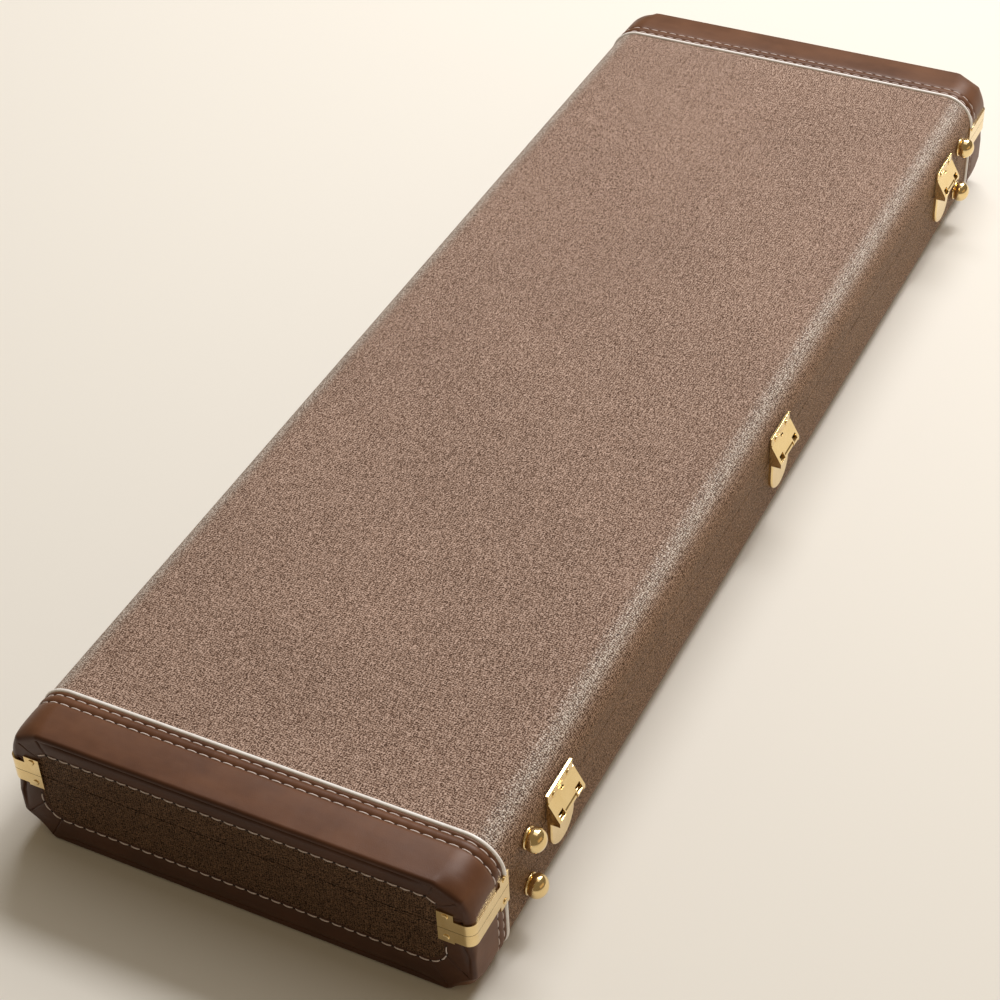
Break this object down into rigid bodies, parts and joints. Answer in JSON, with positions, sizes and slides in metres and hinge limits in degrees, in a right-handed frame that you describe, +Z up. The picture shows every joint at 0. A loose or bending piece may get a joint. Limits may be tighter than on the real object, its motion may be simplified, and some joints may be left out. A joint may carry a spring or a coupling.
{
  "type": "guitar case",
  "caption": "Rectangular hard-shell guitar case with a hinged lid, leather-capped ends, draw latches, a swinging handle and a padded interior.",
  "frame": {"origin": "middle of the underside of the closed case", "axes": "+X along the case, +Y towards the hinge side, -Y towards latches and handle, +Z up"},
  "size_m": [1.0542, 0.3825, 0.1072],
  "materials": {
    "ply": "raw birch plywood",
    "cloth": "vinyl-coated cloth with a fine woven grain, slight sheen",
    "leather_cap": "smooth satin",
    "piping": "satin vinyl",
    "grip_leather": "smooth satin",
    "plush": "short pile",
    "lining_board": "short pile on board",
    "gilt": "polished plating"
  },
  "bodies": {
    "base": {"base_bottom_panel": "ply", "base_front_wall": "ply", "base_back_wall": "ply", "base_near_end": "ply", "base_far_end": "ply", "base_bottom_cover": "cloth", "base_side_covers": "cloth", "base_end_covers": "cloth", "base_near_cap": "leather_cap", "base_far_cap": "leather_cap", "base_piping": "piping", "base_lip": "lining_board", "base_corners_near": "gilt", "base_corners_far": "gilt", "base_ball_feet": "gilt", "base_rivets": "gilt", "hinge_lower_far": "gilt", "hinge_lower_middle": "gilt", "hinge_lower_near": "gilt", "hinge_pins": "gilt", "latch_plates": "gilt", "handle_brackets": "gilt", "floor_pad": "plush", "body_end_pad": "plush", "waist_pad_front": "plush", "waist_pad_back": "plush", "front_block": "plush", "shoulder_block": "plush", "head_blocks": "plush", "neck_cradle": "plush", "compartment_box": "lining_board"},
    "lid": {"lid_top_panel": "ply", "lid_front_wall": "ply", "lid_back_wall": "ply", "lid_near_end": "ply", "lid_far_end": "ply", "lid_cover": "cloth", "lid_end_covers": "cloth", "lid_near_cap": "leather_cap", "lid_far_cap": "leather_cap", "lid_piping": "piping", "lid_corners_near": "gilt", "lid_corners_far": "gilt", "lid_ball_feet": "gilt", "lid_rivets": "gilt", "hinge_upper_far": "gilt", "hinge_upper_middle": "gilt", "hinge_upper_near": "gilt", "latch_catches": "gilt", "lid_pad": "plush"},
    "flap": {"compartment_flap": "plush", "flap_tab": "grip_leather"},
    "handle": {"handle_grip": "grip_leather", "handle_arms": "gilt"},
    "lever_far": {"latch_lever_far": "gilt"},
    "loop_far": {"latch_loop_far": "gilt"},
    "lever_lock": {"latch_lever_lock": "gilt"},
    "loop_lock": {"latch_loop_lock": "gilt"},
    "lever_near": {"latch_lever_near": "gilt"},
    "loop_near": {"latch_loop_near": "gilt"}
  },
  "joints": [
    {"name": "lid_hinge", "type": "hinge", "parent": "base", "child": "lid", "pos_m": [0, 0.184, 0.0665], "axis": [-1, 0, 0], "range_deg": [0, 95]},
    {"name": "handle_swing", "type": "hinge", "parent": "base", "child": "handle", "pos_m": [0, -0.185, 0.054], "axis": [-1, 0, 0], "range_deg": [0, 165]},
    {"name": "flap_hinge", "type": "hinge", "parent": "base", "child": "flap", "pos_m": [-0.1525, 0.1645, 0.0572], "axis": [-1, 0, 0], "range_deg": [0, 57]},
    {"name": "lever_far_hinge", "type": "hinge", "parent": "base", "child": "lever_far", "pos_m": [-0.399, -0.1815, 0.058], "axis": [-1, 0, 0], "range_deg": [0, 120]},
    {"name": "loop_far_hinge", "type": "hinge", "parent": "lever_far", "child": "loop_far", "pos_m": [-0.399, -0.1826, 0.05], "axis": [-1, 0, 0], "range_deg": [-120, 0]},
    {"name": "lever_lock_hinge", "type": "hinge", "parent": "base", "child": "lever_lock", "pos_m": [0.15, -0.1815, 0.058], "axis": [-1, 0, 0], "range_deg": [0, 120]},
    {"name": "loop_lock_hinge", "type": "hinge", "parent": "lever_lock", "child": "loop_lock", "pos_m": [0.15, -0.1826, 0.05], "axis": [-1, 0, 0], "range_deg": [-120, 0]},
    {"name": "lever_near_hinge", "type": "hinge", "parent": "base", "child": "lever_near", "pos_m": [0.399, -0.1815, 0.058], "axis": [-1, 0, 0], "range_deg": [0, 120]},
    {"name": "loop_near_hinge", "type": "hinge", "parent": "lever_near", "child": "loop_near", "pos_m": [0.399, -0.1826, 0.05], "axis": [-1, 0, 0], "range_deg": [-120, 0]}
  ],
  "couplings": [
    {"joint": "flap_hinge", "follows": "lid_hinge", "ratio": 0.6},
    {"joint": "loop_far_hinge", "follows": "lever_far_hinge", "ratio": -1},
    {"joint": "loop_lock_hinge", "follows": "lever_lock_hinge", "ratio": -1},
    {"joint": "loop_near_hinge", "follows": "lever_near_hinge", "ratio": -1}
  ]
}
